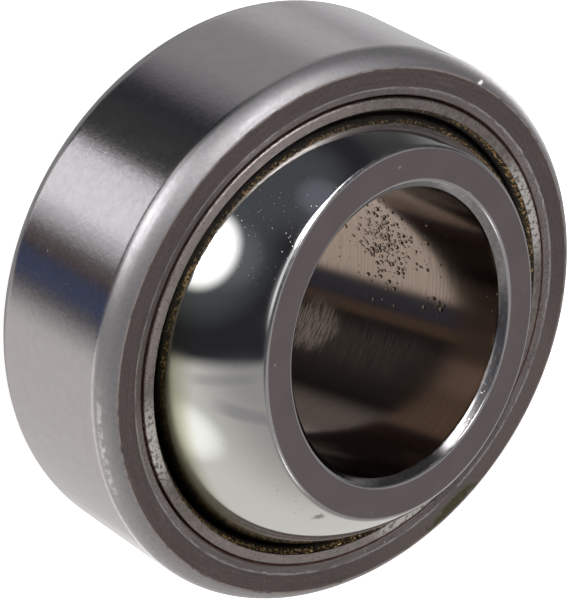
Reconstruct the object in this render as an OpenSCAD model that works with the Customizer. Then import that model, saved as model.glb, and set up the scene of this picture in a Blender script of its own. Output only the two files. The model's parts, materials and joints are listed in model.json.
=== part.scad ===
// Spherical plain bearing with a wide inner ring.
// The inner ring stands on one end face, its axis is +Z, and the origin is the centre of the ball.
// The outer ring is pressed round a steel-backed sliding strip and swivels on the ball.

/* [Inner ring] */
// Diameter of the bore that takes the shaft
bore_d = 15; // [10:0.5:17]
// Width across the two end faces
inner_w = 16; // [13:0.5:18]
// Size of the 45 degree chamfer at each end of the bore
bore_chamfer = 0.42; // [0.2:0.02:0.8]
// Width of the broken edge between the ball and each end face
ball_edge_w = 0.15; // [0.05:0.01:0.4]

/* [Sliding strip] */
// Running clearance between the ball and the sliding layer, on the radius
running_gap = 0.025; // [0.01:0.005:0.05]
// Thickness of the bronze sliding layer
layer_t = 0.27; // [0.15:0.01:0.45]
// Thickness of the steel backing
backing_t = 0.55; // [0.3:0.05:0.8]
// Radius on the outer edge of the backing's end face
backing_edge_r = 0.12; // [0.05:0.01:0.2]
// Gap between the ball and the flared mouth of the strip, at the outer ring's end face
mouth_gap = 0.36; // [0.3:0.02:0.6]
// How far the sliding layer's edge lies behind the outer ring's end face
layer_recess = 0.1; // [0.05:0.05:0.3]
// Depth of the bevel that runs from that edge down to the layer's inner face
layer_bevel = 0.35; // [0.1:0.05:0.5]

/* [Outer ring] */
// Outside diameter that seats in the housing
outer_d = 30; // [28:0.5:36]
// Thickness of its wall round the middle of the strip
outer_wall = 1.655; // [1:0.005:2.5]
// Width across the two end faces
outer_w = 10; // [8:0.5:11]
// Length of the rounded shoulder along the outside
shoulder_len = 1.1; // [0.6:0.05:1.6]
// Depth of the rounded shoulder on the end face
shoulder_depth = 0.73; // [0.4:0.01:0.9]
// Radius of the shoulder's round, in section
shoulder_r = 2; // [1.4:0.1:4]
// Width of the pressed lip around the groove
lip_w = 0.45; // [0.2:0.05:0.5]
// How far the lip's inner edge is pressed below the end face
lip_drop = 0.1; // [0.05:0.05:0.2]
// Width of the groove between the lip and the strip
groove_w = 0.15; // [0.1:0.01:0.4]
// Depth of that groove below the end face
groove_depth = 0.5; // [0.3:0.05:0.7]

/* [Pose] */
// Angle of the outer ring's axis from the inner ring's axis
tilt = 10.35; // [-13:0.05:13]

/* [Hidden] */
$fn = 96;

// Nested spheres, from the outside in to the ball
outer_r = outer_d / 2;
backing_out_r = outer_r - outer_wall;
layer_out_r = backing_out_r - backing_t;
layer_in_r = layer_out_r - layer_t;
ball_r = layer_in_r - running_gap;

// Inner ring: the chamfer and the broken edge leave at least a third of the end face flat
bore_r = bore_d / 2;
inner_half = inner_w / 2;
end_face_r = sqrt(ball_r * ball_r - inner_half * inner_half);
end_face_w = end_face_r - bore_r;
chamfer = min(bore_chamfer, end_face_w / 3);
broken_edge = min(ball_edge_w, end_face_w / 3);
// The broken edge halves the corner between the end face and the ball
broken_edge_slope = (90 - asin(inner_half / ball_r)) / 2;

// Outer ring and strip: each sphere runs out into a cylinder at both mouths
outer_half = outer_w / 2;
layer_half = outer_half - layer_recess;
mouth_r = sqrt(ball_r * ball_r - outer_half * outer_half) + mouth_gap;
layer_mouth_r = mouth_r + layer_t;
backing_mouth_r = layer_mouth_r + backing_t;
groove_r = backing_mouth_r + groove_w;
lip_r = groove_r + lip_w;

// Centre of the shoulder's round, from the two ends of its arc
shoulder_chord = norm([shoulder_depth, shoulder_len]);
shoulder_reach = sqrt(shoulder_r * shoulder_r - shoulder_chord * shoulder_chord / 4);
shoulder_x = outer_r - shoulder_depth / 2 - shoulder_reach * shoulder_len / shoulder_chord;
shoulder_z = outer_half - shoulder_len / 2 - shoulder_reach * shoulder_depth / shoulder_chord;

// Overrun of cutting shapes past the material
over = 1;

// Draws a section shape at both ends
module both_ends() {
    children();
    mirror([0, 1]) children();
}

// Turns a section about the axis
module turned() {
    rotate_extrude() children();
}

// Leans the outer ring and its strip on the ball
module leaned() {
    rotate([0, tilt, 0]) children();
}

// Half section from the axis to a sphere of radius r
module ball_section(r) {
    intersection() {
        circle(r);
        translate([0, -r - over]) square([r + over, 2 * (r + over)]);
    }
}

// Half section from the axis out to a spherical face that ends in a cylinder at both mouths
module flared_section(r, straight_r, half) {
    intersection() {
        union() {
            ball_section(r);
            translate([0, -half]) square([straight_r, 2 * half]);
        }
        translate([0, -half]) square([r + over, 2 * half]);
    }
}

// Corner outside the broken edge of the inner ring
module broken_edge_cut() {
    translate([end_face_r - broken_edge, inner_half])
        rotate(-broken_edge_slope)
            translate([-over / 2, 0]) square([3 * over, over]);
}

// Corner outside the chamfer of the bore
module bore_chamfer_cut() {
    polygon([
        [bore_r - over, inner_half + over],
        [bore_r - over, inner_half - chamfer - over],
        [bore_r + chamfer + over, inner_half + over]
    ]);
}

// Corner outside the rounded shoulder
module shoulder_cut() {
    difference() {
        translate([shoulder_x, shoulder_z])
            square([outer_r - shoulder_x + over, outer_half - shoulder_z + over]);
        translate([shoulder_x, shoulder_z]) circle(shoulder_r);
    }
}

// Corner outside the rounded edge of the backing
module backing_edge_cut() {
    edge_x = backing_mouth_r - backing_edge_r;
    edge_z = outer_half - backing_edge_r;
    difference() {
        translate([edge_x, edge_z]) square(backing_edge_r + over);
        translate([edge_x, edge_z]) circle(backing_edge_r);
    }
}

// Corner above the bevelled edge of the sliding layer
module layer_bevel_cut() {
    polygon([
        [layer_mouth_r, layer_half],
        [layer_mouth_r, layer_half + over],
        [mouth_r - over, layer_half + over],
        [mouth_r - over, layer_half - layer_bevel],
        [mouth_r, layer_half - layer_bevel]
    ]);
}

// Groove round the strip, with the sloping lip outside it
module lip_and_groove_cut() {
    polygon([
        [0, outer_half - groove_depth],
        [backing_mouth_r, outer_half - groove_depth],
        [groove_r, outer_half - lip_drop],
        [lip_r, outer_half],
        [lip_r, outer_half + over],
        [0, outer_half + over]
    ]);
}

module inner_ring() {
    color("lightsteelblue") turned() difference() {
        intersection() {
            ball_section(ball_r);
            translate([bore_r, -inner_half]) square([ball_r, inner_w]);
        }
        both_ends() {
            bore_chamfer_cut();
            broken_edge_cut();
        }
    }
}

module outer_ring() {
    color("slategray") leaned() turned() difference() {
        translate([0, -outer_half]) square([outer_r, outer_w]);
        flared_section(backing_out_r, backing_mouth_r, outer_half + over);
        both_ends() {
            shoulder_cut();
            lip_and_groove_cut();
        }
    }
}

module liner_backing() {
    color("darkgray") leaned() turned() difference() {
        flared_section(backing_out_r, backing_mouth_r, outer_half);
        flared_section(layer_out_r, layer_mouth_r, outer_half + over);
        both_ends() backing_edge_cut();
    }
}

module sliding_layer() {
    color("peru") leaned() turned() difference() {
        flared_section(layer_out_r, layer_mouth_r, layer_half);
        flared_section(layer_in_r, mouth_r, layer_half + over);
        both_ends() layer_bevel_cut();
    }
}

inner_ring();
outer_ring();
liner_backing();
sliding_layer();
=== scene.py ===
"""Spherical plain bearing: finishes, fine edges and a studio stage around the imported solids."""

import json
import math
import random

import bmesh
import bpy
from bpy.props import FloatProperty, FloatVectorProperty, IntProperty, PointerProperty
from bpy.types import NodeSocket, Operator, Panel, PropertyGroup
from mathutils import Matrix, Vector, noise


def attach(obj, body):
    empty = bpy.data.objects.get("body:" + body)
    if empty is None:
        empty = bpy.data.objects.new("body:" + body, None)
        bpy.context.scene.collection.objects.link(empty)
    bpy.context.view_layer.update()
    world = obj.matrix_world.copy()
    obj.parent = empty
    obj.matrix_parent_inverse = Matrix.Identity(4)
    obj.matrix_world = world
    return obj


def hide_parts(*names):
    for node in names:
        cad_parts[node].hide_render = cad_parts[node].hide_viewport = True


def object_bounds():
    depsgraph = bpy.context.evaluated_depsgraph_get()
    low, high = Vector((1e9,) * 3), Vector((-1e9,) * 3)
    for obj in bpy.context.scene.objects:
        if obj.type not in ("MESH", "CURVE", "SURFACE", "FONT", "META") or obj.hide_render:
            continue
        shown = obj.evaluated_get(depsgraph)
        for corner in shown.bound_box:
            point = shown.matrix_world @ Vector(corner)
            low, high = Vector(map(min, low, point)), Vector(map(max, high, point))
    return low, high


bl_info = {
    "name": "Spherical Plain Bearing",
    "version": (1, 0, 0),
    "blender": (4, 5, 0),
    "location": "View3D > Sidebar > Bearing",
    "description": "Turns the rings and liner of a spherical plain bearing and sets its stage",
    "category": "Add Mesh",
}

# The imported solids, which give the main sizes
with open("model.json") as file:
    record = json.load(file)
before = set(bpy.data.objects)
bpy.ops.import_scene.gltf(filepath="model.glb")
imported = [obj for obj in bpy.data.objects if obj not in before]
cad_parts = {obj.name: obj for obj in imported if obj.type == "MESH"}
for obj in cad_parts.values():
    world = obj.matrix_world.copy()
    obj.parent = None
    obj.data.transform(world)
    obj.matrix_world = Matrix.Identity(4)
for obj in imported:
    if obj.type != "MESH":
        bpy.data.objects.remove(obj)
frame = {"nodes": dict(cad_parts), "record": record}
CAD_BOX = [list(corner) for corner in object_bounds()]
MM = 0.001
MOUNTS = {mount["name"]: mount for mount in frame["record"]["mounts"]}
SEAT_AXIS = Vector(MOUNTS["outside_seat"]["axis"]).normalized()
LEAN_ANGLE = math.atan2(SEAT_AXIS.x, SEAT_AXIS.z)
LEAN = Matrix.Rotation(LEAN_ANGLE, 4, "Y")


def reach(node, axis):
    """How far a solid reaches along an axis from the ball's centre."""
    return max(vert.co.dot(axis) for vert in frame["nodes"][node].data.vertices)


def farthest(node):
    """Distance of a solid's farthest point from the ball's centre."""
    return max(vert.co.length for vert in frame["nodes"][node].data.vertices)


BALL_R = farthest("inner_ring")
INNER_HALF = reach("inner_ring", Vector((0, 0, 1)))
OUTER_HALF = reach("outer_ring", SEAT_AXIS)
OUTER_R = MOUNTS["outside_seat"]["dims"]["r_mm"] * MM
BORE_R = MOUNTS["bore"]["dims"]["r_mm"] * MM


def length(name, description, default):
    """A size in metres."""
    return FloatProperty(name=name, description=description, default=default, min=0, precision=5,
                         subtype="DISTANCE", unit="LENGTH")


def point(name, description, default):
    """A point in metres."""
    return FloatVectorProperty(name=name, description=description, default=default, size=3, precision=5,
                               subtype="TRANSLATION", unit="LENGTH")


def colour(name, description, default):
    """A finish's colour."""
    return FloatVectorProperty(name=name, description=description, default=default, size=3,
                               min=0, max=1, subtype="COLOR")


def angle(name, description, degrees):
    """An angle, given in degrees."""
    return FloatProperty(name=name, description=description, default=math.radians(degrees),
                         subtype="ANGLE", unit="ROTATION")


class BearingSizes(PropertyGroup):
    """Sizes of the rings and the liner."""

    bore_radius: length("Bore radius", "Radius of the bore", BORE_R)
    inner_half: length("Inner half width", "Half the width of the inner ring", INNER_HALF)
    ball_radius: length("Ball radius", "Radius of the ball-shaped outside", BALL_R)
    bore_chamfer: length("Bore chamfer", "Chamfer at each end of the bore", 0.42 * MM)
    chamfer_round: length("Chamfer round", "Round between the bore's chamfer and the end face", 0.12 * MM)
    ball_edge: length("Ball edge", "Round between the ball and each end face", 0.15 * MM)
    droplets: IntProperty(name="Droplets", description="Oil droplets in the bore", default=330, min=0)
    outer_radius: length("Outer radius", "Radius of the outside", OUTER_R)
    outer_half: length("Outer half width", "Half the width of the outer ring", OUTER_HALF)
    shoulder_length: length("Shoulder length", "Shoulder along the outside", 1.1 * MM)
    shoulder_depth: length("Shoulder depth", "Shoulder on the end face", 0.73 * MM)
    shoulder_round: length("Shoulder round", "Radius of the shoulder in section", 2 * MM)
    shoulder_blend: length("Shoulder blend", "Round between the outside and its shoulder", 0.18 * MM)
    lip_width: length("Lip width", "Pressed lip around the groove", 0.45 * MM)
    lip_drop: length("Lip drop", "Depth of the lip's inner edge", 0.1 * MM)
    lip_burr: length("Lip burr", "Height of the burr along the lip's border", 0.03 * MM)
    groove_width: length("Groove width", "Groove between the lip and the strip", 0.15 * MM)
    groove_depth: length("Groove depth", "Depth of the groove", 0.5 * MM)
    running_gap: length("Running gap", "Clearance between ball and sliding layer", 0.025 * MM)
    layer_thickness: length("Layer thickness", "Sliding layer", 0.27 * MM)
    backing_thickness: length("Backing thickness", "Steel backing of the strip", 0.55 * MM)
    backing_edge: length("Backing edge", "Round on the outer edge of the backing", 0.12 * MM)
    mouth_gap: length("Mouth gap", "Gap between the ball and the strip's mouth", 0.36 * MM)
    layer_recess: length("Layer recess", "Sliding layer's edge behind the end face", 0.1 * MM)
    layer_bevel: length("Layer bevel", "Depth of the sliding layer's bevelled edge", 0.35 * MM)
    layer_teeth: length("Layer teeth", "Height of the teeth on that broken edge", 0.07 * MM)
    fine_edge: length("Fine edge", "Round on the crisp turned edges", 0.035 * MM)
    turn_steps: IntProperty(name="Turn steps", description="Segments round each ring", default=360, min=48)


class BearingFinish(PropertyGroup):
    """Colours of the finishes."""

    chrome: colour("Chrome", "Plated ball", (0.80, 0.80, 0.79))
    dust: colour("Dust", "Dust on the ball", (0.5, 0.52, 0.53))
    dirt: colour("Dirt", "Smudges and grit on the ball", (0.24, 0.20, 0.17))
    oil_film: colour("Oil film", "Olive oil left on the ball by the liner", (0.66, 0.67, 0.49))
    # Painted shade: the dark band on the ball beside the liner gap.
    liner_gap_shade: colour("Grease", "Dark grease on the ball beside the liner", (0.035, 0.033, 0.022))
    end_face: colour("End face", "Inner ring's end faces", (0.31, 0.258, 0.263))
    end_flecks: colour("End flecks", "Flecks on those end faces", (0.7, 0.68, 0.67))
    polished_edge: colour("Polished edge", "Rounds at the inner ring's edges", (0.62, 0.60, 0.61))
    chamfer: colour("Chamfer", "Chamfer of the bore", (0.48, 0.46, 0.47))
    bore: colour("Bore", "Ground bore with a brown film", (0.225, 0.176, 0.148))
    bore_grit: colour("Bore grit", "Light grit near the bore's mouth", (0.95, 0.92, 0.85))
    outside: colour("Outside", "Ground outside of the outer ring", (0.62, 0.59, 0.615))
    scuffs: colour("Scuffs", "Small scuffs on the outside", (0.85, 0.84, 0.83))
    shoulder: colour("Shoulder", "Rounded shoulders", (0.52, 0.50, 0.515))
    worn_streak: colour("Worn streak", "Streak worn along the shoulder", (0.88, 0.86, 0.85))
    nick: colour("Nick", "Nick in the shoulder", (1.0, 0.99, 0.97))
    ring_face: colour("Ring face", "Outer ring's end faces", (0.20, 0.168, 0.159))
    oil_stain: colour("Oil stain", "Olive stain on the ring face", (0.11, 0.11, 0.045))
    lip: colour("Lip", "Pressed lip", (0.30, 0.262, 0.255))
    burr: colour("Burr", "Light burr along the lip", (0.62, 0.59, 0.58))
    groove: colour("Groove", "Dirt in the groove", (0.07, 0.036, 0.030))
    backing: colour("Backing", "Cut edge of the steel backing", (0.39, 0.342, 0.322))
    rubbed: colour("Rubbed", "Rubbed stretches of that edge", (0.95, 0.91, 0.87))
    bronze: colour("Bronze", "Sliding layer", (0.62, 0.40, 0.19))
    # Painted shade deep in the gap on the sliding layer.
    layer_gap_shade: colour("Grime", "Old grease", (0.012, 0.009, 0.006))


class BearingStage(PropertyGroup):
    """Camera, floor and light panels."""

    azimuth: angle("Azimuth", "Camera's direction about +Z", -64.712)
    elevation: angle("Elevation", "Camera's height above the floor", 42.863)
    roll: angle("Roll", "Camera's turn about its own view axis", 106.871)
    distance: length("Distance", "From the camera to the point it looks at", 192.04 * MM)
    aim: point("Aim", "Point that the camera looks at", (0.179 * MM, -0.214 * MM, -0.295 * MM))
    lens: FloatProperty(name="Lens", description="Focal length in millimetres", default=223.2)
    floor: colour("Floor", "Pale floor", (0.9, 0.9, 0.9))
    floor_glow: FloatProperty(name="Floor glow", description="Light that the camera sees in the floor",
                              default=0.86, min=0)
    lamp_place: point("Lamp place", "Where the soft lamp hangs", (-50 * MM, -50 * MM, 400 * MM))
    lamp_size: length("Lamp size", "Width of the soft lamp", 300 * MM)
    lamp_power: FloatProperty(name="Lamp power", description="Power of the soft lamp", default=0.6, min=0,
                              unit="POWER")
    dark_side: colour("Dark side", "Unlit side of the studio", (0.022, 0.022, 0.026))
    white_side: colour("White side", "White card beside the bearing", (0.64, 0.63, 0.60))
    dark_ceiling: colour("Dark ceiling", "Ceiling on the dark side", (0.10, 0.10, 0.11))
    dome: colour("Dome", "Ceiling of the studio", (0.40, 0.39, 0.39))


SETTINGS = {"bearing_sizes": BearingSizes, "bearing_finish": BearingFinish, "bearing_stage": BearingStage}


# Sections and turning

# Points closer than this are one point
TOUCH = 0.001 * MM
# Distance of the support points that keep shading flat up to a rounded edge
SUPPORT = 0.2 * MM
# Edges sharper than this angle aren't smoothed
SHARP_ANGLE = math.radians(28)


def start_section(bm, radius, height):
    """First point of a half section."""
    return bm.verts.new((radius, 0, height))


def draw_lines(bm, vert, *ends):
    """Straight stretches of a section, each with a support point near both its ends. Returns the last end."""
    for radius, height in ends:
        start = vert.co.copy()
        end = Vector((radius, 0, height))
        support = min(SUPPORT / (end - start).length, 1 / 3)
        for share in (support, 1 - support, 1):
            vert = bmesh.ops.extrude_vert_indiv(bm, verts=[vert])["verts"][0]
            vert.co = start.lerp(end, share)
    return vert


def draw_arc(bm, vert, centre, sweep, steps):
    """Round stretch of a section about a centre. A positive sweep runs outwards and down."""
    made = bmesh.ops.spin(bm, geom=[vert], cent=(centre[0], 0, centre[1]), axis=(0, 1, 0),
                          angle=sweep, steps=steps, use_duplicate=False)
    return next(part for part in made["geom_last"] if isinstance(part, bmesh.types.BMVert))


def turn_section(bm, steps):
    """Mirrors the half section to the lower end, turns it through an eighth and copies that all round."""
    bmesh.ops.mirror(bm, geom=bm.verts[:] + bm.edges[:], axis="Z", merge_dist=TOUCH / 10)
    bmesh.ops.remove_doubles(bm, verts=bm.verts[:], dist=TOUCH)
    eighth = math.tau / 8
    bmesh.ops.spin(bm, geom=bm.verts[:] + bm.edges[:], cent=(0, 0, 0), axis=(0, 0, 1),
                   angle=eighth, steps=steps // 8, use_duplicate=False)
    for turn in (eighth, 2 * eighth, 4 * eighth):
        made = bmesh.ops.duplicate(bm, geom=bm.verts[:] + bm.edges[:] + bm.faces[:])["geom"]
        bmesh.ops.rotate(bm, cent=(0, 0, 0), matrix=Matrix.Rotation(turn, 3, "Z"),
                         verts=[part for part in made if isinstance(part, bmesh.types.BMVert)])
    bmesh.ops.remove_doubles(bm, verts=bm.verts[:], dist=TOUCH)
    bmesh.ops.recalc_face_normals(bm, faces=bm.faces[:])


def off_axis(vert):
    """Distance of a point from the turning axis."""
    return math.hypot(vert.co.x, vert.co.y)


def round_edge(bm, radius, height, size, segments=3):
    """Rounds the turned edge at one radius, at both ends."""
    near = 2 * TOUCH

    def at_corner(vert):
        return abs(off_axis(vert) - radius) < near and abs(abs(vert.co.z) - height) < near

    edges = [edge for edge in bm.edges if all(at_corner(vert) for vert in edge.verts)]
    bmesh.ops.bevel(bm, geom=edges, offset=size, offset_type="OFFSET", segments=segments, profile=0.5,
                    affect="EDGES", material=-1)


def paint(bm, rule):
    """Gives each face the material number that the rule returns for its radius, height and slope."""
    for face in bm.faces:
        centre = face.calc_center_median()
        face.material_index = rule(math.hypot(centre.x, centre.y), abs(centre.z), abs(face.normal.z))


def ripple(vert, size, seed):
    """Smooth noise from -1 to 1 at a point, with features of the given size."""
    return noise.noise(vert.co / size + Vector((seed, seed, seed)))


def raise_point(vert, rise):
    """Moves a point away from the ring's middle."""
    vert.co.z += math.copysign(rise, vert.co.z)


def finish_piece(bm, name, node, body, materials, place=None):
    """Makes the object, puts it in its place and hands it to its body."""
    if place is not None:
        bmesh.ops.transform(bm, matrix=place, verts=bm.verts[:])
    mesh = bpy.data.meshes.new(name)
    bm.to_mesh(mesh)
    bm.free()
    mesh.shade_smooth()
    mesh.set_sharp_from_angle(angle=SHARP_ANGLE)
    for material in materials:
        mesh.materials.append(material)
    piece = bpy.data.objects.new(name, mesh)
    bpy.context.scene.collection.objects.link(piece)
    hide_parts(node)
    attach(piece, body)


# Shader nodes

class Shading:
    """Short calls for the nodes of one tree. Its masks and patterns read its place, in millimetres."""

    def __init__(self, tree, place=None):
        self.tree = tree
        self.place = place

    def set_input(self, socket, value):
        """Feeds an input from a socket, or sets it to a value."""
        if isinstance(value, NodeSocket):
            self.tree.links.new(value, socket)
        else:
            socket.default_value = value

    def put(self, kind, inputs=None, **settings):
        """Adds a node; an input takes a value or the socket that feeds it."""
        made = self.tree.nodes.new(kind)
        for key, value in settings.items():
            setattr(made, key, value)
        for key, value in (inputs or {}).items():
            self.set_input(made.inputs[key], value)
        return made

    def at(self, place):
        """Shading of the same tree at another place."""
        return Shading(self.tree, place)

    def use(self, name, inputs=None):
        """Puts in a shared effect at this place. Returns its outputs."""
        return self.put("ShaderNodeGroup", {"Vector": self.place, **(inputs or {})},
                        node_tree=bpy.data.node_groups[name]).outputs

    def math_step(self, operation, *values):
        """One step of arithmetic on one or two values."""
        return self.put("ShaderNodeMath", dict(enumerate(values)), operation=operation).outputs[0]

    def vector_step(self, operation, *values):
        """One step of arithmetic on vectors."""
        made = self.put("ShaderNodeVectorMath", dict(enumerate(values)), operation=operation)
        return made.outputs["Value" if operation in ("LENGTH", "DOT_PRODUCT") else "Vector"]

    def gather(self, operation, values):
        """The same arithmetic over several values."""
        total = values[0]
        for value in values[1:]:
            total = self.math_step(operation, total, value)
        return total

    def times(self, *values):
        """Product of several values."""
        return self.gather("MULTIPLY", values)

    def plus(self, *values):
        """Sum of several values."""
        return self.gather("ADD", values)

    def either(self, *masks):
        """Largest of several masks."""
        return self.gather("MAXIMUM", masks)

    def minus(self, first, second):
        """Difference of two values."""
        return self.math_step("SUBTRACT", first, second)

    def span(self, value, low, high, to_low=0.0, to_high=1.0):
        """Smooth step of a value between two limits."""
        return self.put("ShaderNodeMapRange", {"Value": value, "From Min": low, "From Max": high,
                                               "To Min": to_low, "To Max": to_high},
                        interpolation_type="SMOOTHSTEP").outputs[0]

    def blend(self, factor, first, second):
        """Mix of two colours."""
        mixed = self.put("ShaderNodeMix", {"Factor": factor}, data_type="RGBA")
        for socket, value in ((mixed.inputs[6], first), (mixed.inputs[7], second)):
            self.set_input(socket, value if isinstance(value, NodeSocket) else (*value, 1))
        return mixed.outputs[2]

    def grain(self, per_mm, detail, roughness=0.5):
        """Noise about 0.5."""
        return self.put("ShaderNodeTexNoise", {"Vector": self.place, "Scale": per_mm, "Detail": detail,
                                               "Roughness": roughness}).outputs["Fac"]

    def cells(self, per_mm):
        """Scattered cells: the distance from each middle, and a random colour."""
        made = self.put("ShaderNodeTexVoronoi", {"Vector": self.place, "Scale": per_mm}).outputs
        return made["Distance"], self.put("ShaderNodeSeparateColor", {0: made["Color"]}).outputs

    def sector(self, degrees, half_width, softness):
        """Mask of a sector about an angle."""
        edge, full = soft_edge(half_width, softness)
        return self.use("Sector", {"Middle": on_ring(degrees, 1, 0), "Edge": edge, "Full": full})["Mask"]

    def spot(self, centre, size, ragged=0.6, grain=4.0):
        """Mask of a ragged spot about a point, with its reach along each axis."""
        return self.use("Spot", {"Centre": centre, "Reach": size, "Ragged": ragged,
                                 "Grain per mm": grain})["Mask"]

    def specks(self, per_mm, size, share):
        """Mask of scattered specks."""
        return self.use("Specks", {"Per mm": per_mm, "Size": size, "Share": share})["Mask"]

    def mottle(self, per_mm, low=0.3, high=0.7):
        """Cloudy mask."""
        return self.use("Mottle", {"Per mm": per_mm, "Low": low, "High": high})["Mask"]

    def lathe_marks(self, per_mm, waver):
        """Fine lines round the axis, as a height."""
        return self.use("Lathe marks", {"Lines per mm": per_mm, "Waver": waver})["Height"]

    def radius(self):
        """Distance from the axis."""
        return self.use("Round coordinates")["Radius"]

    def off_middle(self):
        """Height above or below the ring's middle."""
        return self.math_step("ABSOLUTE", self.use("Round coordinates")["Height"])


def soft_edge(half_width, softness):
    """Cosines of the angles, in degrees, at which a soft mask starts and is full."""
    starts = math.radians(half_width + softness)
    full = math.radians(max(half_width - softness, 0))
    return math.cos(starts), math.cos(full)


def on_ring(degrees, radius, height):
    """Point at an angle about the axis."""
    return radius * math.cos(math.radians(degrees)), radius * math.sin(math.radians(degrees)), height


def shade(tone, factor):
    """A darker or lighter tone of a colour."""
    return [min(channel * factor, 1) for channel in tone]


def start_effect(name, inputs):
    """Starts a shared effect. Returns its shading, at its Vector, and its inputs."""
    tree = bpy.data.node_groups.new(name, "ShaderNodeTree")
    tree.interface.new_socket("Vector", in_out="INPUT", socket_type="NodeSocketVector")
    for socket, default in inputs.items():
        kind = "NodeSocketFloat" if isinstance(default, float) else "NodeSocketVector"
        tree.interface.new_socket(socket, in_out="INPUT", socket_type=kind).default_value = default
    given = tree.nodes.new("NodeGroupInput").outputs
    return Shading(tree, given["Vector"]), given


def end_effect(effect, outputs):
    """Gives a shared effect its outputs."""
    for name, value in outputs.items():
        kind = "NodeSocketVector" if value.type == "VECTOR" else "NodeSocketFloat"
        effect.tree.interface.new_socket(name, in_out="OUTPUT", socket_type=kind)
    result = effect.tree.nodes.new("NodeGroupOutput").inputs
    for name, value in outputs.items():
        effect.tree.links.new(value, result[name])


def make_round_coordinates():
    """Radius and height of a point on a turned piece, and its place on the unrolled surface."""
    effect, _ = start_effect("Round coordinates", {})
    parts = effect.put("ShaderNodeSeparateXYZ", {0: effect.place}).outputs
    flat = effect.put("ShaderNodeCombineXYZ", {0: parts["X"], 1: parts["Y"]}).outputs[0]
    radius = effect.vector_step("LENGTH", flat)
    way_round = effect.times(effect.math_step("ARCTAN2", parts["Y"], parts["X"]), radius)
    unrolled = effect.put("ShaderNodeCombineXYZ", {0: way_round, 1: radius, 2: parts["Z"]}).outputs[0]
    end_effect(effect, {"Radius": radius, "Height": parts["Z"], "Unrolled": unrolled})


def make_sector():
    """Mask of a sector about the axis, by the cosine of the angle from its middle."""
    effect, given = start_effect("Sector", {"Middle": (1, 0, 0), "Edge": 0.5, "Full": 0.9})
    flat = effect.vector_step("MULTIPLY", effect.place, (1, 1, 0))
    cosine = effect.vector_step("DOT_PRODUCT", effect.vector_step("NORMALIZE", flat), given["Middle"])
    end_effect(effect, {"Mask": effect.span(cosine, given["Edge"], given["Full"])})


def make_lathe_marks():
    """Fine lines that run round a turned face, as a height."""
    effect, given = start_effect("Lathe marks", {"Lines per mm": 12.0, "Waver": 0.15})
    lines = given["Lines per mm"]
    stretch = effect.put("ShaderNodeCombineXYZ", {0: given["Waver"], 1: lines, 2: lines}).outputs[0]
    stretched = effect.vector_step("MULTIPLY", effect.use("Round coordinates")["Unrolled"], stretch)
    end_effect(effect, {"Height": effect.at(stretched).grain(1.0, 3.0, 0.6)})


def make_specks():
    """Scattered specks or pits: a mask with soft edges."""
    effect, given = start_effect("Specks", {"Per mm": 4.0, "Size": 0.3, "Share": 0.3})
    distance, pick = effect.cells(given["Per mm"])
    chosen = effect.math_step("LESS_THAN", pick["Red"], given["Share"])
    dot = effect.span(distance, given["Size"], effect.times(given["Size"], 0.5))
    end_effect(effect, {"Mask": effect.times(dot, chosen)})


def make_mottle():
    """Cloudy change over a surface, from 0 to 1."""
    effect, given = start_effect("Mottle", {"Per mm": 0.5, "Low": 0.35, "High": 0.65})
    cloud = effect.grain(given["Per mm"], 5.0)
    end_effect(effect, {"Mask": effect.span(cloud, given["Low"], given["High"])})


def make_spot():
    """Mask of one ragged spot about a point, with its reach along each axis."""
    effect, given = start_effect("Spot", {"Centre": (0, 0, 0), "Reach": (1, 1, 1), "Ragged": 0.6,
                                          "Grain per mm": 4.0})
    away = effect.vector_step("SUBTRACT", effect.place, given["Centre"])
    far = effect.vector_step("LENGTH", effect.vector_step("DIVIDE", away, given["Reach"]))
    waver = effect.minus(effect.grain(given["Grain per mm"], 3.0), 0.5)
    edge = effect.plus(far, effect.times(waver, given["Ragged"], 2.0))
    end_effect(effect, {"Mask": effect.span(edge, 1.0, 0.4)})


def make_shared_effects():
    """Builds each shared effect once."""
    for make in (make_round_coordinates, make_sector, make_lathe_marks, make_specks, make_mottle, make_spot):
        make()


# Materials

class Surface(Shading):
    """Shading of one surface, metal unless told otherwise. Its place is the piece's own, in millimetres."""

    def __init__(self, name, lean=0.0):
        self.material = bpy.data.materials.new(name)
        self.material.use_nodes = True
        super().__init__(self.material.node_tree)
        self.shader = self.tree.nodes["Principled BSDF"]
        self.feed("Metallic", 1.0)
        self.place = self.find_place(lean)

    def find_place(self, lean):
        """Coordinates about an axis that leans."""
        place = self.put("ShaderNodeTexCoord").outputs["Object"]
        return self.put("ShaderNodeMapping", {"Vector": place, "Rotation": (0, -lean, 0),
                                              "Scale": (1 / MM, 1 / MM, 1 / MM)}).outputs[0]

    def feed(self, key, value):
        """Feeds or sets an input of the shader."""
        self.set_input(self.shader.inputs[key], value)

    def coat(self, base, *coats, start=1.0):
        """Lays colours over a base, each through its mask at a share. A number is a tone of the base."""
        seen = shade(base, start)
        for mask, share, tone in coats:
            over = shade(base, tone) if isinstance(tone, float) else tone
            seen = self.blend(mask if share == 1 else self.times(mask, share), seen, over)
        self.feed("Base Color", seen)

    def bump(self, height, distance):
        """Raises the surface by a height; the distance is in millimetres."""
        made = self.put("ShaderNodeBump", {"Height": height, "Distance": distance * MM, "Strength": 1.0})
        self.feed("Normal", made.outputs[0])


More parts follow.
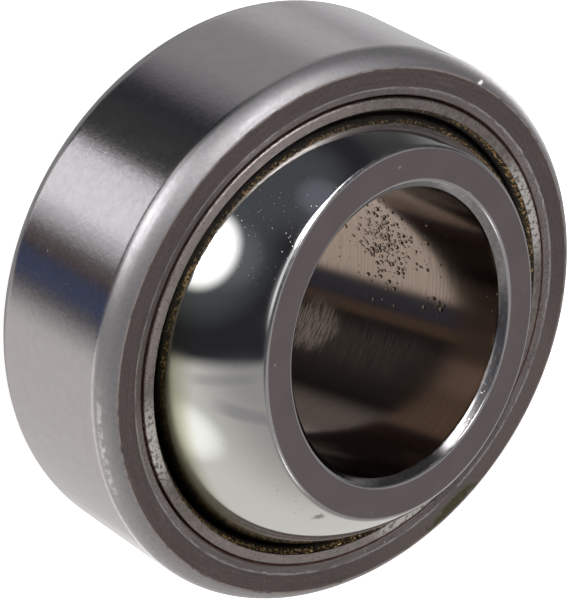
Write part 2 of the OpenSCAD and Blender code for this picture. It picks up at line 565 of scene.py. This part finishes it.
def chrome_material(finish):
    """Mirror-bright plating with dust, a smudge, an olive oil film, and painted shade beside the liner gap.
    """
    ball = Surface("ball_chrome")
    dusty = ball.spot(on_ring(-86, 10.6, 6.6), (5.0, 4.0, 3.0), 0.5, 0.6)
    dust = ball.either(ball.times(ball.specks(8.0, 0.2, 0.22), dusty), ball.specks(2.6, 0.11, 0.06))
    smudge = ball.spot(on_ring(16.5, 10.05, 7.42), (0.5, 0.3, 0.4), 0.8, 5.0)
    gritty = ball.spot(on_ring(5, 10.4, 6.9), (1.8, 3.2, 1.3), 0.4, 1.0)
    dirt = ball.either(smudge, ball.times(gritty, ball.specks(4.0, 0.2, 0.2)))
    height = ball.at(ball.find_place(LEAN_ANGLE)).off_middle()
    by_mouth = ball.span(height, 3.4, 4.5, 0.25, 1.0)
    film = ball.times(ball.span(height, 6.7, 5.2), by_mouth, ball.sector(15, 62, 34))
    # Painted shade on the ball's lower side beside the liner gap: a dark band with a softer, lighter veil
    # around it.
    liner_shaded = ball.times(ball.sector(25, 62, 26), ball.span(height, 3.6, 4.6))
    soft_liner_shade = ball.times(ball.span(height, 6.5, 5.3), liner_shaded)
    dark_liner_shade = ball.times(ball.span(height, 5.6, 4.9), liner_shaded)
    ball.coat(finish.chrome,
              (film, 1.0, finish.oil_film),
              (soft_liner_shade, 0.8, shade(finish.liner_gap_shade, 6)),
              (dark_liner_shade, 1.0, finish.liner_gap_shade),
              (dirt, 0.7, finish.dirt),
              (dust, 0.22, finish.dust))
    rough = ball.span(ball.mottle(0.35, 0.45, 0.75), 0.0, 1.0, 0.045, 0.09)
    ball.feed("Roughness", ball.plus(rough, ball.times(soft_liner_shade, 0.2), ball.times(dust, 0.3),
                                     ball.times(dirt, 0.3)))
    ball.bump(dust, 0.0012)
    return ball.material


def end_face_material(finish):
    """Satin turned end face with fine lines and a few flecks."""
    face = Surface("inner_end_face")
    lines = face.lathe_marks(14.0, 0.1)
    flecks = face.either(face.spot(on_ring(-128, 8.8, 8.0), (0.09, 0.09, 0.2)),
                         face.spot(on_ring(-44, 9.05, 8.0), (0.12, 0.06, 0.2)),
                         face.spot(on_ring(-167.5, 7.95, 8.0), (0.12, 0.3, 0.2), 0.9, 6.0),
                         face.specks(2.4, 0.1, 0.05))
    face.coat(finish.end_face,
              (face.mottle(0.5), 1.0, 0.92),
              (flecks, 0.8, finish.end_flecks))
    face.feed("Roughness", face.span(lines, 0.3, 0.7, 0.31, 0.37))
    face.bump(lines, 0.0025)
    return face.material


def edge_material(finish):
    """Polished round between two turned faces, with a little grit."""
    edge = Surface("polished_edge")
    grit = edge.specks(5.0, 0.2, 0.15)
    edge.coat(finish.polished_edge, (grit, 0.5, 0.6))
    edge.feed("Roughness", edge.span(edge.mottle(3.0), 0.0, 1.0, 0.16, 0.24))
    edge.bump(grit, 0.004)
    return edge.material


def chamfer_material(finish):
    """Chamfer of the bore with light grit, painted shade on one stretch, and dull on another."""
    chamfer = Surface("bore_chamfer")
    grit = chamfer.specks(6.0, 0.3, 0.25)
    dull = chamfer.sector(-132, 26, 16)
    chamfer.coat(finish.chamfer,
                 (chamfer.mottle(4.0), 1.0, 0.75),
                 # Painted shade: this stretch of the chamfer is darker.
                 (chamfer.sector(84, 15, 8), 1.0, 0.36),
                 (grit, 0.5, 1.5))
    chamfer.feed("Roughness", chamfer.span(grit, 0.0, 1.0, 0.16, 0.26))
    chamfer.feed("Metallic", chamfer.minus(1.0, chamfer.times(dull, 0.7)))
    chamfer.bump(grit, 0.002)
    return chamfer.material


def bore_material(finish):
    """Ground bore with a brown film, a scuffed patch and light grit near the mouth."""
    bore = Surface("bore_ground")
    lines = bore.lathe_marks(8.0, 0.5)
    fine = bore.specks(6.0, 0.3, 0.3)
    scuff = bore.spot(on_ring(111, 7.5, -4.8), (2.5, 1.4, 2.1), 0.25, 1.0)
    streaks = bore.times(scuff, bore.span(bore.lathe_marks(12.0, 0.9), 0.35, 0.7))
    gritty = bore.spot(on_ring(140, 7.5, 7.4), (2.4, 2.4, 0.7))
    grit = bore.times(bore.specks(4.5, 0.26, 0.35), gritty)
    bore.coat(finish.bore,
              (bore.span(lines, 0.35, 0.65), 1.0, 0.92),
              (fine, 0.5, 0.72),
              (streaks, 0.3, 1.5),
              (grit, 1.0, finish.bore_grit), start=1.05)
    rough = bore.span(lines, 0.3, 0.7, 0.12, 0.16)
    bore.feed("Roughness", bore.plus(rough, bore.times(streaks, 0.3), bore.times(grit, 0.5)))
    bore.bump(bore.plus(bore.times(lines, 0.5), bore.times(fine, 0.5)), 0.0012)
    return bore.material


def droplet_material(finish):
    """Beads of brown oil."""
    bead = Surface("oil_droplets")
    bead.coat(finish.bore, (bead.mottle(3.0), 1.0, 0.9), start=1.4)
    bead.feed("Roughness", 0.08)
    return bead.material


def outside_material(finish, shoulder_foot):
    """Ground outside that runs into satin rolled shoulders, with small scuffs, a worn streak and a nick."""
    ring = Surface("outside_ground", LEAN_ANGLE)
    peel = ring.grain(4.5, 4.0, 0.7)
    lines = ring.lathe_marks(6.0, 0.2)
    height = ring.off_middle()
    foot = shoulder_foot / MM
    rolled = ring.span(height, foot - 0.15, foot + 0.25)
    satin = ring.blend(ring.span(peel, 0.35, 0.65), finish.shoulder, shade(finish.shoulder, 0.9))
    scuffs = ring.specks(1.3, 0.07, 0.12)
    # The nick is a short slanting row of spots
    nick_middle = Vector(on_ring(-160.0, 14.36, 4.93))
    nick_way = Vector((-0.87, 0.48, 0))
    nick = ring.either(*(ring.spot(nick_middle + nick_way * step, (0.12, 0.12, 0.3), 0.3)
                         for step in (-0.2, -0.1, 0.0, 0.1, 0.2)))
    off_streak = ring.math_step("ABSOLUTE", ring.minus(height, foot + 0.4))
    streak = ring.times(ring.span(off_streak, 0.2, 0.05), ring.sector(-27, 8, 7), ring.mottle(2.5, 0.4, 0.6))
    ring.coat(finish.outside,
              (ring.mottle(1.8), 1.0, 0.95),
              (ring.specks(1.8, 0.13, 0.14), 0.5, 0.55),
              (scuffs, 1.0, finish.scuffs),
              (rolled, 1.0, satin),
              (streak, 0.9, finish.worn_streak),
              (nick, 1.0, finish.nick))
    ring.feed("Metallic", ring.minus(1.0, nick))
    rough = ring.span(peel, 0.3, 0.7, 0.13, 0.19)
    shoulder_rough = ring.times(rolled, ring.span(lines, 0.3, 0.7, 0.33, 0.39))
    ring.feed("Roughness", ring.plus(rough, shoulder_rough, ring.times(scuffs, 0.3)))
    ring.bump(ring.plus(peel, ring.times(lines, rolled)), 0.0045)
    return ring.material


def ring_face_material(finish):
    """Dark turned end face with fine grain, light flecks, a pale rim, an olive stain and painted light on one
    stretch.
    """
    face = Surface("ring_end_face", LEAN_ANGLE)
    grain = face.grain(6.0, 5.0, 0.7)
    lines = face.lathe_marks(8.0, 0.35)
    flecks = face.specks(3.6, 0.14, 0.25)
    stain = face.spot(on_ring(83, 14.1, 5.0), (2.6, 0.65, 1.0), 1.0, 2.0)
    rim = face.times(face.span(face.radius(), 14.14, 14.2), face.mottle(1.2, 0.3, 0.55))
    scars = face.times(face.span(lines, 0.56, 0.66), face.mottle(0.9, 0.4, 0.65))
    face.coat(finish.ring_face,
              (face.span(grain, 0.35, 0.65), 1.0, 0.88),
              (face.span(lines, 0.5, 0.3), 0.5, 0.7),
              # Painted light: this stretch of the face is lighter.
              (face.sector(98, 30, 18), 0.4, 1.8),
              (stain, 0.85, finish.oil_stain),
              (rim, 0.9, 3.0),
              (scars, 0.4, 1.9),
              (flecks, 0.5, 2.4), start=1.12)
    face.feed("Roughness", face.span(lines, 0.3, 0.7, 0.34, 0.42))
    face.bump(face.plus(face.times(grain, 0.6), flecks), 0.006)
    return face.material


def lip_material(finish, lip_radius):
    """Pressed lip: lighter than the end face, streaked and pitted, with a ragged burr along its border, and
    painted light and shade on some stretches.
    """
    lip = Surface("lip_pressed", LEAN_ANGLE)
    pits = lip.specks(7.0, 0.38, 0.4)
    # Pits are lighter on three stretches: real pitting, with painted light on those stretches.
    worn_and_lit_stretches = lip.either(lip.sector(155, 24, 12), lip.sector(-95, 45, 30), lip.sector(-18, 12, 8))
    streaks = lip.span(lip.lathe_marks(7.0, 0.5), 0.38, 0.62)
    shift = lip.times(lip.minus(lip.grain(2.6, 5.0, 0.7), 0.5), 0.3)
    off_border = lip.math_step("ABSOLUTE", lip.minus(lip.plus(lip.radius(), shift), lip_radius / MM - 0.06))
    line = lip.times(lip.span(off_border, 0.075, 0.02), lip.mottle(1.3, 0.3, 0.6))
    flaking = lip.either(lip.sector(-12, 12, 9), lip.sector(64, 4, 4))
    burr = lip.either(lip.times(line, 0.8), lip.times(flaking, lip.specks(6.0, 0.36, 0.55)))
    dirty = lip.span(lip.sector(128, 50, 20), 0.0, 1.0, 0.35, 0.9)
    lip.coat(finish.lip,
             (streaks, 0.6, 0.75),
             # Painted light on one stretch and painted shade on another.
             (lip.sector(-17, 14, 8), 0.5, 1.6),
             (lip.sector(95, 10, 10), 0.5, 0.6),
             (lip.times(pits, worn_and_lit_stretches), 0.7, 2.0),
             (lip.times(lip.specks(5.5, 0.36, 0.45), dirty), 0.8, 0.35),
             (burr, 1.0, finish.burr), start=1.12)
    lip.feed("Roughness", lip.span(burr, 0.0, 1.0, 0.46, 0.32))
    lip.bump(lip.minus(burr, lip.times(pits, 0.5)), 0.01)
    return lip.material


def groove_material(finish):
    """Groove filled with dark red-brown dirt."""
    groove = Surface("groove_dirt", LEAN_ANGLE)
    cloud = groove.mottle(3.0)
    groove.coat(finish.groove, (cloud, 1.0, 2.2))
    groove.feed("Metallic", 0.0)
    groove.feed("Roughness", 0.6)
    groove.bump(cloud, 0.02)
    return groove.material


def backing_material(finish):
    """Cut edge of the steel strip: grey and finely pitted, brighter where it was rubbed, with painted light
    on two wide stretches.
    """
    strip = Surface("backing_edge", LEAN_ANGLE)
    pits = strip.specks(6.5, 0.4, 0.4)
    cloud = strip.mottle(2.2)
    grain = strip.mottle(6.0, 0.4, 0.6)
    rubbed = strip.either(strip.sector(164, 11, 7), strip.sector(-24, 8, 6), strip.sector(72, 6, 5))
    strip.coat(finish.backing,
               (cloud, 1.0, 0.75),
               (grain, 0.5, 0.65),
               # Painted light: two wide stretches of the edge are lighter.
               (strip.sector(-84, 40, 14), 0.5, 1.75),
               (strip.sector(40, 32, 14), 0.4, 1.6),
               (strip.times(rubbed, strip.mottle(4.0, 0.36, 0.5)), 1.0, finish.rubbed),
               (pits, 0.5, 0.3), start=1.1)
    strip.feed("Roughness", strip.span(cloud, 0.0, 1.0, 0.3, 0.42))
    strip.bump(strip.plus(pits, grain), -0.012)
    return strip.material


def bronze_material(finish, edge_height):
    """Golden grains along the broken edge of the sliding layer, with black painted shade deeper in the gap
    below them.
    """
    layer = Surface("sliding_bronze", LEAN_ANGLE)
    distance, pick = layer.cells(9.0)
    depth = layer.minus(edge_height / MM, layer.off_middle())
    shift = layer.times(layer.minus(layer.grain(4.0, 4.0, 0.7), 0.5), 0.45)
    near = layer.span(layer.plus(depth, shift), 0.24, 0.1)
    rich = layer.either(layer.sector(170, 14, 9), layer.sector(40, 24, 16),
                        layer.span(layer.mottle(0.7, 0.35, 0.65), 0.0, 1.0, 0.3, 0.7))
    gold = layer.times(near, rich, layer.span(pick["Red"], 0.25, 0.6))
    tone = layer.blend(layer.span(pick["Green"], 0.2, 0.9), shade(finish.bronze, 0.25),
                       shade(finish.bronze, 1.6))
    # Painted shade: the layer is black wherever the gold grains don't show, and they show only near its edge.
    layer.coat(finish.layer_gap_shade, (gold, 1.0, tone))
    layer.feed("Metallic", gold)
    layer.feed("Roughness", layer.span(gold, 0.0, 1.0, 0.55, 0.28))
    layer.bump(distance, 0.04)
    return layer.material


# Pieces

# Oil droplets: share of them, then middle and spread of their angle in degrees and of their height in mm.
# They make a dense patch, a loose scatter and a small group by the mouth.
DROPLET_PATCHES = ((0.57, (153, 7.5), (-0.3, 0.9)),
                   (0.37, (150, 10), (-0.6, 1.9)),
                   (0.06, (131.5, 1.8), (3.0, 0.5)))
# Smallest, largest and usual half width of a droplet in mm
DROPLET_SIZES = (0.022, 0.145, 0.04)
# How high a droplet stands and how far it has run down, as shares of that half width
DROPLET_RISE = 0.4
DROPLET_RUN = (1.0, 1.6)
DROPLET_SEED = 11


def add_droplets(bm, sizes, number):
    """Beads of oil on the bore's wall."""
    draw = random.Random(DROPLET_SEED)
    bead = bmesh.new()
    bmesh.ops.create_uvsphere(bead, u_segments=12, v_segments=8, radius=1)
    for face in bead.faces:
        face.material_index = number
    pattern = bpy.data.meshes.new("bead")
    bead.to_mesh(pattern)
    bead.clear()
    for share, turn, height in DROPLET_PATCHES:
        for _ in range(round(share * sizes.droplets)):
            size = draw.triangular(*DROPLET_SIZES) * MM
            place = (Matrix.Rotation(math.radians(draw.gauss(*turn)), 4, "Z")
                     @ Matrix.Translation((sizes.bore_radius, 0, draw.gauss(*height) * MM))
                     @ Matrix.Diagonal((DROPLET_RISE * size, size, size * draw.uniform(*DROPLET_RUN), 1)))
            shaped = pattern.copy()
            shaped.transform(place)
            bead.from_mesh(shaped)
            bpy.data.meshes.remove(shaped)
    bead.to_mesh(pattern)
    bead.free()
    bm.from_mesh(pattern)
    bpy.data.meshes.remove(pattern)


class BEARING_OT_inner_ring(Operator):
    """Turn the inner ring: chromed ball, satin end faces and ground bore"""

    bl_idname = "bearing.inner_ring"
    bl_label = "Inner Ring"

    def execute(self, context):
        sizes = context.scene.bearing_sizes
        finish = context.scene.bearing_finish
        half = sizes.inner_half
        face_radius = math.sqrt(sizes.ball_radius ** 2 - half ** 2)
        mouth_radius = sizes.bore_radius + sizes.bore_chamfer
        bore_end = half - sizes.bore_chamfer
        bm = bmesh.new()
        vert = start_section(bm, sizes.bore_radius, 0)
        vert = draw_lines(bm, vert, (sizes.bore_radius, bore_end), (mouth_radius, half), (face_radius, half))
        draw_arc(bm, vert, (0, 0), math.atan2(half, face_radius), 30)
        turn_section(bm, sizes.turn_steps)
        round_edge(bm, face_radius, half, sizes.ball_edge, 5)
        round_edge(bm, mouth_radius, half, sizes.chamfer_round, 5)
        round_edge(bm, sizes.bore_radius, bore_end, sizes.fine_edge)
        chrome, face, edge, chamfer, bore, droplet = range(6)

        def finish_at(radius, height, slope):
            if slope > 0.99:
                return face
            if radius > mouth_radius + sizes.chamfer_round:
                return edge if height > half - sizes.ball_edge * 0.8 else chrome
            if slope > 0.72:
                return edge
            return chamfer if height > bore_end else bore

        paint(bm, finish_at)
        add_droplets(bm, sizes, droplet)
        finish_piece(bm, "inner_ring_turned", "inner_ring", "inner",
                     [chrome_material(finish), end_face_material(finish), edge_material(finish),
                      chamfer_material(finish), bore_material(finish), droplet_material(finish)])
        return {"FINISHED"}


def strip_radii(sizes, layer_in):
    """Radii of the strip's nested faces: layer inside, layer outside, backing outside."""
    layer_out = layer_in + sizes.layer_thickness
    return layer_in, layer_out, layer_out + sizes.backing_thickness


def strip_spheres(sizes):
    """Radii of the strip's spheres."""
    return strip_radii(sizes, sizes.ball_radius + sizes.running_gap)


def strip_mouths(sizes):
    """Radii of the strip's straight mouths."""
    ball_at_face = math.sqrt(sizes.ball_radius ** 2 - sizes.outer_half ** 2)
    return strip_radii(sizes, ball_at_face + sizes.mouth_gap)


def mouth_height(sphere, mouth):
    """Height at which a sphere runs out into its straight mouth."""
    return math.sqrt(sphere ** 2 - mouth ** 2)


def mouth_angle(sphere, mouth):
    """Angle from the middle of a sphere to its straight mouth."""
    return math.atan2(mouth_height(sphere, mouth), mouth)


def draw_strip(bm, spheres, mouths, end, steps):
    """Section of one layer of the strip: up its inside, along the points of its end and down its outside."""
    (inside, outside), (mouth_in, mouth_out) = spheres, mouths
    vert = start_section(bm, inside, 0)
    vert = draw_arc(bm, vert, (0, 0), -mouth_angle(inside, mouth_in), steps)
    vert = draw_lines(bm, vert, *end, (mouth_out, mouth_height(outside, mouth_out)))
    draw_arc(bm, vert, (0, 0), mouth_angle(outside, mouth_out), steps)


class BEARING_OT_outer_ring(Operator):
    """Turn the outer ring: ground outside, rolled shoulders, lip and groove"""

    bl_idname = "bearing.outer_ring"
    bl_label = "Outer Ring"

    def execute(self, context):
        sizes = context.scene.bearing_sizes
        finish = context.scene.bearing_finish
        seat = strip_spheres(sizes)[2]
        mouth = strip_mouths(sizes)[2]
        groove_radius = mouth + sizes.groove_width
        lip_radius = groove_radius + sizes.lip_width
        half = sizes.outer_half
        lip_foot = half - sizes.lip_drop
        shoulder_top = sizes.outer_radius - sizes.shoulder_depth
        shoulder_foot = half - sizes.shoulder_length
        chord = Vector((sizes.shoulder_depth, sizes.shoulder_length))
        to_centre = math.sqrt(sizes.shoulder_round ** 2 - chord.length_squared / 4)
        middle = Vector((sizes.outer_radius - sizes.shoulder_depth / 2, half - sizes.shoulder_length / 2))
        centre = middle - Vector((chord.y, chord.x)).normalized() * to_centre
        sweep = 2 * math.asin(chord.length / (2 * sizes.shoulder_round))
        bm = bmesh.new()
        vert = start_section(bm, seat, 0)
        vert = draw_arc(bm, vert, (0, 0), -mouth_angle(seat, mouth), 10)
        vert = draw_lines(bm, vert, (mouth, half - sizes.groove_depth), (groove_radius, lip_foot),
                          (lip_radius, half), (shoulder_top, half))
        vert = draw_arc(bm, vert, centre, sweep, 6)
        draw_lines(bm, vert, (sizes.outer_radius, 0))
        turn_section(bm, sizes.turn_steps)
        outside, face, lip, groove = range(4)

        def finish_at(radius, _height, _slope):
            if radius > shoulder_top:
                return outside
            if radius > lip_radius:
                return face
            return lip if radius > groove_radius else groove

        paint(bm, finish_at)
        for vert in bm.verts:
            if abs(off_axis(vert) - lip_radius) < TOUCH:
                burr = ripple(vert, 1.1 * MM, 5.0) + ripple(vert, 0.4 * MM, 2.0)
                raise_point(vert, sizes.lip_burr * max(burr, 0))
        round_edge(bm, shoulder_top, half, sizes.fine_edge)
        round_edge(bm, sizes.outer_radius, shoulder_foot, sizes.shoulder_blend, 4)
        round_edge(bm, groove_radius, lip_foot, sizes.fine_edge)
        finish_piece(bm, "outer_ring_turned", "outer_ring", "outer",
                     [outside_material(finish, shoulder_foot), ring_face_material(finish),
                      lip_material(finish, lip_radius), groove_material(finish)], LEAN)
        return {"FINISHED"}


class BEARING_OT_liner_backing(Operator):
    """Turn the steel backing of the strip"""

    bl_idname = "bearing.liner_backing"
    bl_label = "Liner Backing"

    def execute(self, context):
        sizes = context.scene.bearing_sizes
        mouths = strip_mouths(sizes)[1:]
        ends = [(mouth, sizes.outer_half) for mouth in mouths]
        bm = bmesh.new()
        draw_strip(bm, strip_spheres(sizes)[1:], mouths, ends, 10)
        turn_section(bm, sizes.turn_steps)
        round_edge(bm, *ends[0], sizes.fine_edge)
        round_edge(bm, *ends[1], sizes.backing_edge, 5)
        finish_piece(bm, "liner_backing_strip", "liner_backing", "outer",
                     [backing_material(context.scene.bearing_finish)], LEAN)
        return {"FINISHED"}


class BEARING_OT_sliding_layer(Operator):
    """Turn the bronze sliding layer and break its edge"""

    bl_idname = "bearing.sliding_layer"
    bl_label = "Sliding Layer"

    def execute(self, context):
        sizes = context.scene.bearing_sizes
        mouths = strip_mouths(sizes)[:2]
        half = sizes.outer_half - sizes.layer_recess
        foot = half - sizes.layer_bevel
        bm = bmesh.new()
        draw_strip(bm, strip_spheres(sizes)[:2], mouths,
                   ((mouths[0], foot), (sum(mouths) / 2, (foot + half) / 2), (mouths[1], half)), 8)
        turn_section(bm, 2 * sizes.turn_steps)
        for vert in bm.verts:
            if abs(vert.co.z) > foot + TOUCH and off_axis(vert) < mouths[1] + TOUCH:
                tooth = ripple(vert, 0.16 * MM, 3.0) + 0.8 * ripple(vert, 0.45 * MM, 7.0)
                raise_point(vert, sizes.layer_teeth * tooth)
        finish_piece(bm, "sliding_layer_strip", "sliding_layer", "outer",
                     [bronze_material(context.scene.bearing_finish, half)], LEAN)
        return {"FINISHED"}


# Stage

def grey(value):
    """A neutral light."""
    return value, value, value


def sine(degrees):
    """Height of an elevation on the sky, up to straight up or down."""
    return math.sin(math.radians(max(min(degrees, 90), -90)))


class Sky(Shading):
    """Shading of the studio round the bearing. Its place is a direction, and its angles are in degrees."""

    def above(self, low, high):
        """Mask that rises between two elevations."""
        height = self.put("ShaderNodeSeparateXYZ", {0: self.place}).outputs["Z"]
        return self.span(height, sine(low), sine(high))

    def panel(self, azimuth, half_width, softness, low, high, fade):
        """Mask of a light panel between two elevations."""
        return self.times(self.sector(azimuth, half_width, softness), self.above(low - fade, low + fade),
                          self.above(high + fade, high - fade))

    def lamp(self, azimuth, elevation, size, softness):
        """Mask of a round lamp."""
        middle = on_ring(azimuth, math.cos(math.radians(elevation)), sine(elevation))
        cosine = self.vector_step("DOT_PRODUCT", self.place, middle)
        return self.span(cosine, *soft_edge(size, softness))

    def turned(self, degrees, elevation):
        """The same sky turned about the direction of an elevation over +X."""
        axis = Vector((math.cos(math.radians(elevation)), 0, sine(elevation)))
        turn = Matrix.Rotation(math.radians(degrees), 3, axis).to_euler()
        place = self.put("ShaderNodeMapping", {"Vector": self.place, "Rotation": turn}).outputs[0]
        return Sky(self.tree, place)


def make_world(stage):
    """Studio that the metal shows: a dark side, a pale wall, a white card, soft boxes and a ceiling."""
    world = bpy.data.worlds.new("studio")
    bpy.context.scene.world = world
    world.use_nodes = True
    tree = world.node_tree
    sky = Sky(tree, tree.nodes.new("ShaderNodeTexCoord").outputs["Generated"])
    panel, lamp, times = sky.panel, sky.lamp, sky.times
    wall = sky.blend(sky.above(-50, 5), grey(0.63), grey(0.36))
    card = sky.blend(sky.above(-12, 26), stage.white_side, shade(stage.white_side, 0.52))
    ceiling = sky.blend(sky.sector(80, 85, 12), stage.dark_ceiling, stage.dome)
    lights = (
        # Dark side, a little lighter beside the strip and the soft box
        (panel(-110, 11, 6, -90, 0, 8), grey(0.045)),
        (lamp(-118, 11, 20, 11), (0.066, 0.069, 0.076)),
        (lamp(-123, 24, 0, 12), (0.13, 0.135, 0.16)),
        (panel(-176, 14, 10, -40, 6, 8), grey(0.07)),
        # Blue and brown bands low beside the white card, paler towards their top
        (panel(-42, 6.5, 4, -90, -28, 5), (0.055, 0.075, 0.135)),
        (panel(-55, 3, 2, -90, -30, 5), (0.12, 0.09, 0.075)),
        (panel(-40, 6, 4, -47, -30, 4), (0.10, 0.115, 0.17)),
        (panel(-54, 4, 3, -47, -30, 4), (0.20, 0.155, 0.13)),
        # Pale wall behind, brightest low down, dark at one end, with two lamps against it
        (panel(-162, 24, 12, -90, -15, 10), grey(0.33)),
        (panel(121, 41, 23, -90, 40, 12), wall),
        (panel(170, 24, 14, 8, 40, 8), grey(0.06)),
        (lamp(176, -41, 6, 6), grey(0.55)),
        (lamp(145, -20, 9, 5), grey(6.0)),
        # White card: darker towards its top and near edge, with faint stripes
        (panel(40, 66.5, 4, -90, 55, 12), card),
        (times(panel(-18, 9, 8, 8, 40, 12), 0.15), (0.19, 0.19, 0.21)),
        (times(panel(-19, 1.3, 2, -2, 26, 6), 0.4), (0.2, 0.2, 0.22)),
        (times(sky.turned(30, 19).panel(0, 1.8, 3, 6, 32, 7), 0.5), (0.19, 0.18, 0.21)),
        # Brightest band of the card, below the bearing, with a dark corner and a soft light above it
        (panel(34, 64, 5, -46, -36, 3), (1.34, 1.32, 1.27)),
        (panel(75, 22, 12, -44, -33, 3), grey(1.75)),
        (times(panel(-26, 6, 5, -90, -52, 4), 0.6), (0.2, 0.19, 0.19)),
        (lamp(6, -12, 9, 8), (1.1, 1.1, 1.06)),
        # Soft box at the level of the ball, with its halo
        (lamp(-75, -2, 24, 13), (0.075, 0.084, 0.09)),
        (lamp(-76, 9, 3, 15), (0.12, 0.128, 0.135)),
        (panel(-86, 19, 7, -36, -20, 3), grey(1.1)),
        (lamp(-75, -5, 15.5, 4.5), grey(1.7)),
        (lamp(-75, -5, 9, 3), grey(22.0)),
        # Strip low in front, soft along its near edge
        (times(panel(-74, 9, 7, -75, -46, 2), 0.7), grey(0.9)),
        (panel(-86, 14, 1.5, -75, -46, 2), grey(1.1)),
        # Ceiling, pale on the card's side, with panels and lamps under it
        (sky.above(30, 48), ceiling),
        (panel(-80, 25, 14, 35, 46, 3), grey(0.75)),
        (panel(-119, 18, 8, 34, 43, 3), grey(14.0)),
        (lamp(-133, 62, 8, 4), grey(4.0)),
        (lamp(52, 42, 6, 3), grey(2.0)),
        # White where the camera looks past the bearing
        (tree.nodes.new("ShaderNodeLightPath").outputs["Is Camera Ray"], grey(1.0)),
    )
    seen = stage.dark_side
    for mask, light in lights:
        seen = sky.blend(mask, seen, light)
    tree.links.new(seen, tree.nodes["Background"].inputs["Color"])


def make_floor(stage):
    """Pale floor that keeps a soft shadow and stays out of the metal's reflections."""
    bm = bmesh.new()
    bmesh.ops.create_grid(bm, x_segments=1, y_segments=1, size=1.0)
    bmesh.ops.translate(bm, vec=(0, 0, CAD_BOX[0][2]), verts=bm.verts[:])
    mesh = bpy.data.meshes.new("floor")
    bm.to_mesh(mesh)
    bm.free()
    floor = bpy.data.objects.new("floor", mesh)
    bpy.context.scene.collection.objects.link(floor)
    material = bpy.data.materials.new("floor_pale")
    material.use_nodes = True
    pale = Shading(material.node_tree)
    pale.tree.nodes.remove(pale.tree.nodes["Principled BSDF"])
    matte = pale.put("ShaderNodeBsdfDiffuse", {"Color": (*stage.floor, 1)}).outputs[0]
    glow = pale.put("ShaderNodeEmission", {"Color": (1, 1, 1, 1), "Strength": stage.floor_glow}).outputs[0]
    both = pale.put("ShaderNodeAddShader", {0: matte, 1: glow}).outputs[0]
    camera_ray = pale.put("ShaderNodeLightPath").outputs["Is Camera Ray"]
    shown = pale.put("ShaderNodeMixShader", {0: camera_ray, 1: matte, 2: both}).outputs[0]
    pale.tree.links.new(shown, pale.tree.nodes["Material Output"].inputs["Surface"])
    mesh.materials.append(material)
    floor.visible_glossy = False


def make_lamp(stage):
    """Soft square lamp that faces the bearing and stays out of the metal's reflections."""
    data = bpy.data.lights.new("ceiling_lamp", "AREA")
    data.size = stage.lamp_size
    data.energy = stage.lamp_power
    lamp = bpy.data.objects.new("ceiling_lamp", data)
    lamp.location = stage.lamp_place
    lamp.rotation_euler = Vector(stage.lamp_place).to_track_quat("Z", "Y").to_euler()
    lamp.visible_glossy = False
    bpy.context.scene.collection.objects.link(lamp)


def make_camera(stage):
    """Camera at the photograph's viewing angle."""
    data = bpy.data.cameras.new("camera")
    data.lens = stage.lens
    data.clip_start = 1 * MM
    camera = bpy.data.objects.new("camera", data)
    flat = math.cos(stage.elevation)
    back = Vector((flat * math.cos(stage.azimuth), flat * math.sin(stage.azimuth), math.sin(stage.elevation)))
    camera.location = Vector(stage.aim) + back * stage.distance
    level = back.to_track_quat("Z", "Y").to_matrix()
    roll = Matrix.Rotation(stage.roll, 3, "Z")
    camera.rotation_euler = (level @ roll).to_euler()
    bpy.context.scene.collection.objects.link(camera)
    bpy.context.scene.camera = camera


class BEARING_OT_stage(Operator):
    """Set the floor, the studio light and the camera"""

    bl_idname = "bearing.stage"
    bl_label = "Stage"

    def execute(self, context):
        stage = context.scene.bearing_stage
        context.scene.view_settings.view_transform = "Standard"
        for make in (make_world, make_floor, make_lamp, make_camera):
            make(stage)
        return {"FINISHED"}


class BEARING_PT_sidebar(Panel):
    """Buttons and sizes of the bearing"""

    bl_idname = "BEARING_PT_sidebar"
    bl_label = "Spherical Plain Bearing"
    bl_space_type = "VIEW_3D"
    bl_region_type = "UI"
    bl_category = "Bearing"

    def draw(self, context):
        for operator in OPERATORS:
            self.layout.operator(operator.bl_idname)
        for name, group in SETTINGS.items():
            box = self.layout.box()
            for field in group.__annotations__:
                box.prop(getattr(context.scene, name), field)


OPERATORS = (BEARING_OT_inner_ring, BEARING_OT_outer_ring, BEARING_OT_liner_backing,
             BEARING_OT_sliding_layer, BEARING_OT_stage)
CLASSES = (*SETTINGS.values(), *OPERATORS, BEARING_PT_sidebar)


def register():
    for item in CLASSES:
        bpy.utils.register_class(item)
    for name, group in SETTINGS.items():
        setattr(bpy.types.Scene, name, PointerProperty(type=group))


def unregister():
    for name in SETTINGS:
        delattr(bpy.types.Scene, name)
    for item in reversed(CLASSES):
        bpy.utils.unregister_class(item)


def main():
    """Registers the add-on and makes every piece and the stage."""
    register()
    make_shared_effects()
    bpy.ops.bearing.inner_ring()
    bpy.ops.bearing.outer_ring()
    bpy.ops.bearing.liner_backing()
    bpy.ops.bearing.sliding_layer()
    bpy.ops.bearing.stage()


if __name__ == "__main__":
    main()
